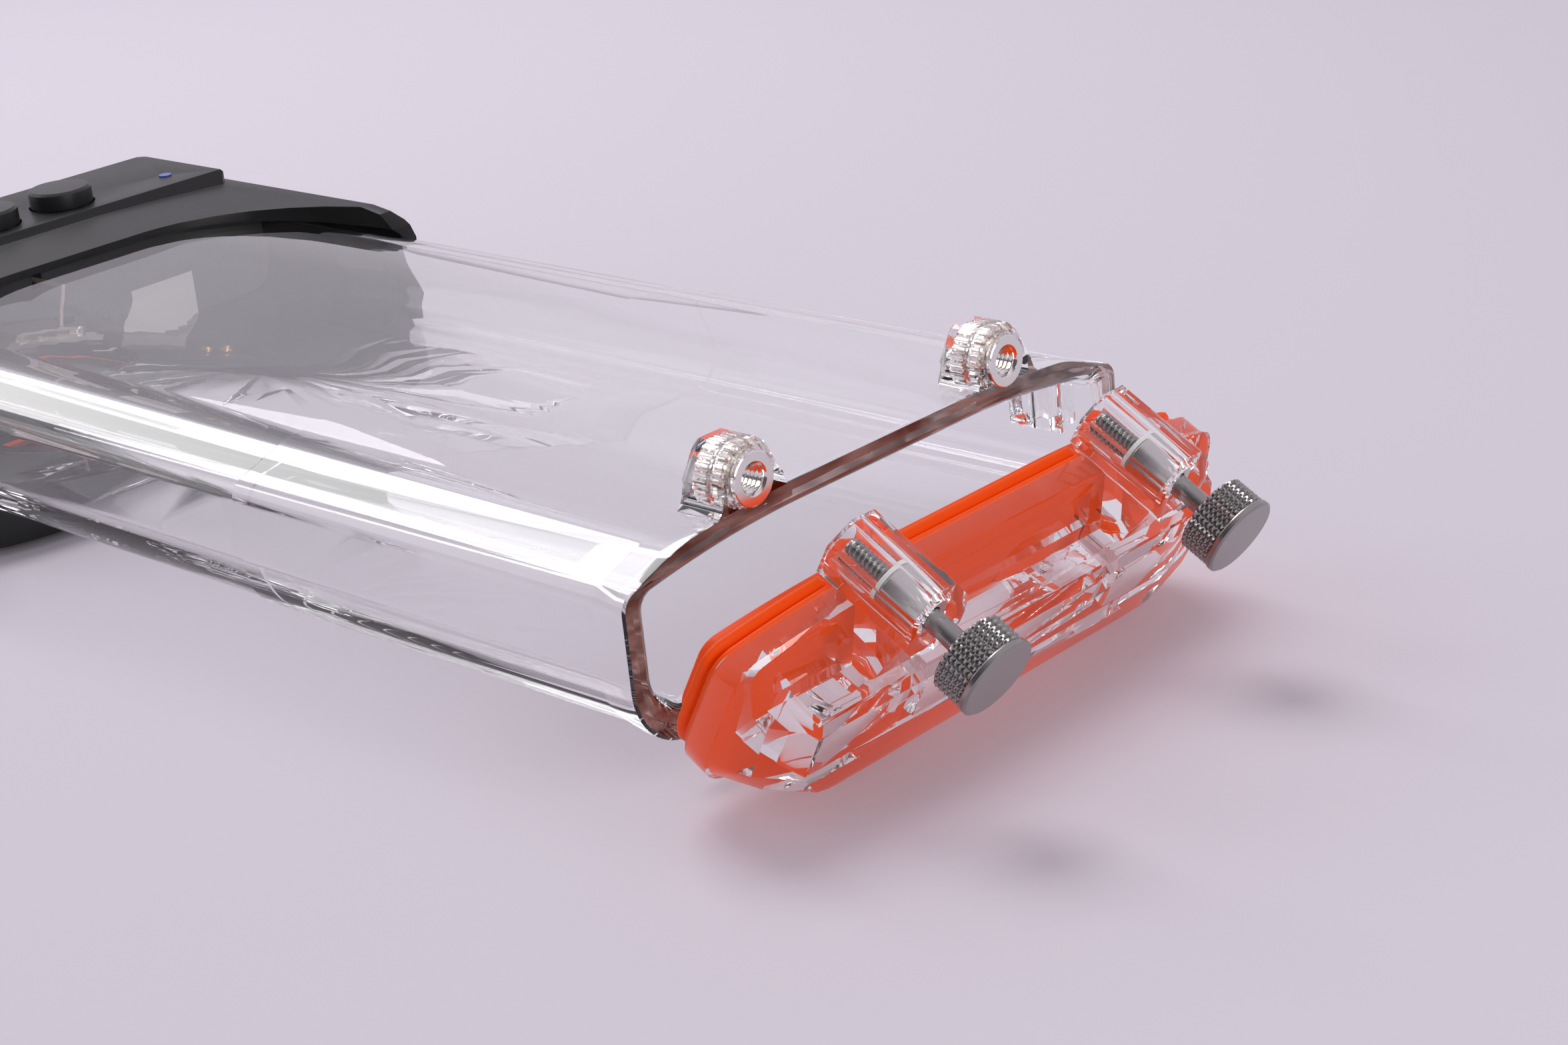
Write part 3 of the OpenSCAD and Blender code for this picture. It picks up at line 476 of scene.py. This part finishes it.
def lug_loop(y0, inset):
    """Cross-section of a lug's arch."""
    w, h = 5.6 - inset, 5.0 - inset
    half = [(-w, -5.0), (-w, 0.2), (-w + 2, 3.8 - inset), (-2, h), (2, h), (w - 2, 3.8 - inset),
            (w, 0.2), (w, -5.0)]
    return [(y0 + y, SCREW_Z + z) for y, z in half]


def between(share):
    """Outline that lies the given share of the way from the body's edge to the bay's."""
    return [(a[0] + share * (b[0] - a[0]), a[1] + share * (b[1] - a[1]))
            for a, b in zip(body_outline(0.3), bay_outline(-1.6))]


def lug(side):
    """Arched lug on the roof, with a foot that spreads onto it and the insert's bore."""
    y0 = side * SCREW_Y
    sections = ((-8, 0.8), (-7, 0), (-1, 0), (-0.03, 0.8))
    arch = hull("lug", [(x, y, z) for x, inset in sections for y, z in lug_loop(y0, inset)])
    foot = [(-6.8, -4.6), (-6.8, -3.4), (-6.1, -2.7), (-5.7, -1.6), (-5.4, -0.6), (5.4, -0.6),
            (5.7, -1.6), (6.1, -2.7), (6.8, -3.4), (6.8, -4.6)]
    cut(arch, prism("foot", [(y0 + y, SCREW_Z + z) for y, z in foot], -7.4, -0.03), "UNION")
    bevel(arch, 0.22, 2, 25)
    cut(arch, rod_x("bore", -6.0, 1, 2.4, y0, SCREW_Z))
    return arch


def strap_loop():
    """Round-ended loop on the far wall, before its eye is cut."""
    rim = ((4, -4.2), (5, -3.2), (5, 3.2), (4, 4.2))
    turns = [math.radians(10 * k) for k in range(19)]
    points = [(LOOP_X + r * math.cos(a), 51.58 + r * math.sin(a), z) for a in turns for r, z in rim]
    points += [(LOOP_X + x, 48.4, z) for x in (-5, 5) for z in (-4.2, 4.2)]
    return hull("loop", points)


def build_housing():
    """The shell, lofted from its closed end to the rim and back along the bay, and all that is on it."""
    outer = [(-227.5, 1.1), (-80.3, 1.1), (-79.9, 0.6), (-6.5, 0.6), (-6.0, 0.59), (-2.0, 0.02),
             (-0.35, 0.0), (0, 0.3)]
    step = [(0, 0.55), (-0.12, 0.6)]
    inner = [(0, -1.6), (-0.2, -1.05), (-0.6, -0.6), (-1.2, -0.25), (-2.0, 0),
             (-2.6, 0), (-224.5, 0)]
    shell = loft("clear_housing", [(x, body_outline(i)) for x, i in outer]
                 + [(x, between(k)) for x, k in step]
                 + [(x, bay_outline(i)) for x, i in inner], CLEAR)
    for side in (-1, 1):
        cut(shell, lug(side), "UNION")
    cut(shell, strap_loop(), "UNION")
    for leaf in shards():
        cut(shell, leaf, "UNION")
    for side in (-1, 1):
        for k in (-1, 1):
            y = side * HINGE_Y + k * 7.8
            cut(shell, rod_y("knuckle", y - 2.5, y + 2.5, 2.2), "UNION")
        cut(shell, rod_y("gap", side * HINGE_Y - 5.37, side * HINGE_Y + 5.37, 2.53))
    cut(shell, rod_z("eye", LOOP_X, 52.5, -6, 6, 2.2))
    cut(shell, rod_z("port", -176, -14, -20, -5, 15))
    shell.data.materials.clear()
    shell.data.materials.append(CLEAR)
    shell.data.materials.append(RIM)
    for f in shell.data.polygons:
        at_rim = f.normal.x > 0.9 and f.center.x > -0.3 * MM and f.center.z < 13 * MM
        f.material_index = 1 if at_rim else 0
    shade(shell, 22)
    stands_for(shell, "housing_shell")


# Inserts, screws and bushes

def wave(t):
    """Triangle wave from 0 to 1 and back, with period 1."""
    t = t % 1.0
    return 2 * t if t < 0.5 else 2 - 2 * t


def thread(x0, count, r_low, r_high):
    """Profile of a turned thread from x0 on, in eight rows a turn."""
    def row(x):
        return lambda a: r_low + (r_high - r_low) * min(1, 1.25 * wave(x / PITCH - a / (2 * math.pi)))

    return [(x, row(x)) for x in [x0 + PITCH / 8 * k for k in range(count)]]


def teeth(r, depth, count):
    """Radius of a band with count grooves of the given depth."""
    return lambda a: r - depth * min(1, max(0, 2.6 * wave(a * count / (2 * math.pi)) - 1.0))


def build_insert(side):
    """Threaded insert with a plain front disc and fluted bands."""
    bands = [(-0.85, 3.1), (-1.45, 3.1), (-1.5, teeth(3.8, 0.3, 20)), (-1.65, teeth(4.0, 0.35, 20)),
             (-2.85, teeth(4.0, 0.35, 20)), (-3.0, teeth(3.8, 0.3, 20)), (-3.05, 3.4), (-3.65, 3.4),
             (-3.7, teeth(4.1, 0.35, 24)), (-3.9, teeth(4.3, 0.4, 24)), (-6.0, teeth(4.3, 0.4, 24)),
             (-6.2, teeth(4.1, 0.35, 24)), (-6.2, 2.1)]
    bore = thread(-6.1, 66, 1.65, 2.02)
    front = [(-0.25, 2.05), (0.1, 2.25), (0.2, 2.35), (0.2, 3.55), (0.1, 3.7), (-0.75, 3.7)]
    o = ring_lathe("insert_fluted", front + bands + bore, NICKEL, 120, side * SCREW_Y, SCREW_Z, 30)
    stands_for(o, "insert_near" if side < 0 else "insert_far")


def build_screw(side):
    """Captive thumb screw with a diamond knurl of count pyramids round it in several rows."""
    count, rows = 34, 6
    x0, x1 = 21.5, 26.1
    step = (x1 - x0) / (rows * 4)

    def knurl(x):
        v = wave((x - x0) / (x1 - x0) * rows)
        return lambda a: 5.86 - 0.62 * max(1 - v, wave(a * count / (2 * math.pi))) ** 0.9

    prof = [(2.0, 0.05), (2.0, 1.25)] + thread(2.3, 69, 1.32, 1.62)
    prof += [(8.38, 1.62), (8.42, 1.5), (21.45, 1.5), (21.5, 5.0)]
    prof += [(x0 + step * k, knurl(x0 + step * k)) for k in range(rows * 4 + 1)]
    prof += [(26.12, 5.7), (26.3, 5.82), (26.9, 5.82), (27.15, 5.5), (27.15, 0.05)]
    o = turn_cap(lathe("screw_turned", prof, STEEL, 160, side * SCREW_Y, SCREW_Z, 20), OPEN)
    stands_for(o, "thumb_screw_near" if side < 0 else "thumb_screw_far")


def build_bush(side):
    """Retaining bush, not quite round, so that its reflections waver."""
    def drawn(a):
        return 2.88 + 0.02 * math.sin(7 * a) + 0.015 * math.sin(19 * a + 1)

    prof = [(9.2, 1.65), (9.2, 2.7), (9.4, drawn), (15.2, drawn), (15.4, 2.7), (15.4, 1.65)]
    o = turn_cap(ring_lathe("bush_turned", prof, BUSH, 64, side * SCREW_Y, SCREW_Z), OPEN)
    stands_for(o, "bush_near" if side < 0 else "bush_far")


# Cap and seal

def build_cap():
    """Cap with rounded edges, whose back face lies just inside the seal."""
    o = turn_cap(copy_of("cap_plate", CLEAR_CAP), -OPEN)
    for v in o.data.vertices:
        if abs(v.co.x - 3.4 * MM) < 0.02 * MM:
            v.co.x = 3.3 * MM
    bevel(o, 0.3, 2, 25)
    stands_for(turn_cap(o, OPEN), "cap_plate")


def build_seal():
    """Ridged plate of the seal with arches for the barrels, and the lip that enters the bay."""
    ridges = [(0.3, 1.4), (0.5, 1.0), (0.9, 0.8), (1.35, 0.9), (1.6, 1.3), (1.85, 1.5), (2.1, 1.3),
              (2.3, 0.9), (2.6, 0.8), (3.38, 0.8)]
    o = loft("seal_plate", [(x, cap_outline(i)) for x, i in ridges], SILICONE, 60)
    for side in (-1, 1):
        cut(o, rod_x("arch", -5, 20, 5.8, side * SCREW_Y, SCREW_Z))
    o.data.materials.clear()
    o.data.materials.append(SILICONE)
    shade(o, 50)
    stands_for(turn_cap(o, OPEN), "cap_seal")
    lip = [(0.35, bay_outline(0.4)), (-1.2, bay_outline(0.5)), (-1.5, bay_outline(0.8)),
           (-1.5, bay_outline(2.7)), (0.35, bay_outline(3))]
    n = len(lip[0][1])
    verts = [(x, y, z) for x, loop in lip for y, z in loop]
    ring = mesh_object("seal_lip", verts, side_faces(len(lip), n), SILICONE, 50)
    stands_for(turn_cap(ring, OPEN), "cap_seal")


build_housing()
for s in (-1, 1):
    build_insert(s)
    build_screw(s)
    build_bush(s)
build_cap()
build_seal()
plate = hull("bare_plate", [(x, y, z) for x in (-196.95, -196.75) for y in (14.5, 28)
                            for z in (-9.4, -1.2)], PAPER)
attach(plate, nodes["bay_stop"]["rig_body"])

for node, mat in (("head_cover", BLACK), ("head_base", BLACK_BASE)):
    o = copy_of(node, mat)
    bevel(o, 0.7, 3, 20)
    stands_for(o, node)
for i in range(1, 5):
    o = copy_of(f"button_{i}", BUTTON)
    bevel(o, 0.35, 3, 40)
    stands_for(o, f"button_{i}")
    node = f"button_spring_{i}"
    coil = stands_for(copy_of(node, BUSH), node)
    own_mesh(coil)


# Floor, light and camera

scene = bpy.context.scene
scene.view_settings.view_transform = "Standard"
scene.cycles.max_bounces = 24
scene.cycles.glossy_bounces = 16
scene.cycles.transmission_bounces = 20
scene.cycles.transparent_max_bounces = 32
scene.cycles.diffuse_bounces = 4

bpy.ops.mesh.primitive_plane_add(size=8, location=(0, 0, TABLE - 0.0001))
floor = bpy.context.object
floor.name = "floor"
sheet = principled("paper", (0.72, 0.672, 0.745), 0.8, **{"Specular IOR Level": 0.25})
floor.data.materials.append(sheet)


def build_world():
    """Pale backdrop behind the object, a dark room behind the camera, and dim light on matt faces."""
    world = bpy.data.worlds.new("studio")
    scene.world = world
    world.use_nodes = True
    nt = world.node_tree
    bg = nt.nodes["Background"]
    coord = add(nt, "TexCoord")
    dot = add(nt, "VectorMath")
    dot.operation = "DOT_PRODUCT"
    dot.inputs[1].default_value = (-0.66, 0.66, 0.36)
    shift = add(nt, "Math")
    shift.operation = "ADD"
    shift.inputs[1].default_value = 0.35
    ramp = color_ramp(nt, (0.0, (0.10, 0.09, 0.10)), (0.45, (0.70, 0.655, 0.73)))
    path = add(nt, "LightPath")
    mix = add(nt, "Mix")
    mix.data_type = "RGBA"
    mix.inputs["B"].default_value = (0.36, 0.345, 0.38, 1)
    nt.links.new(coord.outputs["Generated"], dot.inputs[0])
    nt.links.new(dot.outputs["Value"], shift.inputs[0])
    nt.links.new(shift.outputs[0], ramp.inputs[0])
    nt.links.new(path.outputs["Is Diffuse Ray"], mix.inputs["Factor"])
    nt.links.new(ramp.outputs["Color"], mix.inputs["A"])
    nt.links.new(mix.outputs["Result"], bg.inputs["Color"])
    bg.inputs["Strength"].default_value = 1.0


def area(name, location, target, size, power, along=None):
    """Rectangular lamp that faces target; along gives the direction of its longer side."""
    data = bpy.data.lights.new(name, "AREA")
    data.shape = "RECTANGLE"
    data.size, data.size_y = size
    data.energy = power
    o = bpy.data.objects.new(name, data)
    o.location = location
    back = (Vector(location) - Vector(target)).normalized()
    if along:
        x = Vector(along).cross(back).normalized()
        turn = Matrix((x, back.cross(x), back)).transposed()
        o.rotation_euler = turn.to_euler()
    else:
        o.rotation_euler = back.to_track_quat("Z", "Y").to_euler()
    scene.collection.objects.link(o)


build_world()
area("top box", (-0.55, 0.25, 0.85), (-0.05, 0, 0), (0.5, 0.45), 4.1)
area("strip box", (-0.96, 0.17, 0.6), (-0.12, -0.04, 0.01), (0.11, 0.55), 0.95, (0.45, 0.315, 0.83))
area("left box", (-0.85, -0.55, 0.55), (-0.05, 0, 0), (0.5, 0.7), 1.2)
area("front box", (0.75, -0.1, 0.3), (0, 0, 0), (0.5, 0.4), 2.6)

# The camera was fitted to the photograph: its axes and place in the CAD frame
cam_data = bpy.data.cameras.new("camera")
cam_data.sensor_width = 36
cam_data.lens = 65.05
cam_data.clip_start = 0.01
cam = bpy.data.objects.new("camera", cam_data)
right, up, back = (0.7308, 0.6754, -0.0951), (-0.1836, 0.3292, 0.9262), (0.6569, -0.6594, 0.3646)
m = Matrix(((right[0], up[0], back[0], 0.2391), (right[1], up[1], back[1], -0.2609),
            (right[2], up[2], back[2], 0.14045), (0, 0, 0, 1)))
loc, rot, _ = m.decompose()
cam.matrix_world = Matrix.Translation(loc) @ rot.normalized().to_matrix().to_4x4()
scene.collection.objects.link(cam)
scene.camera = cam
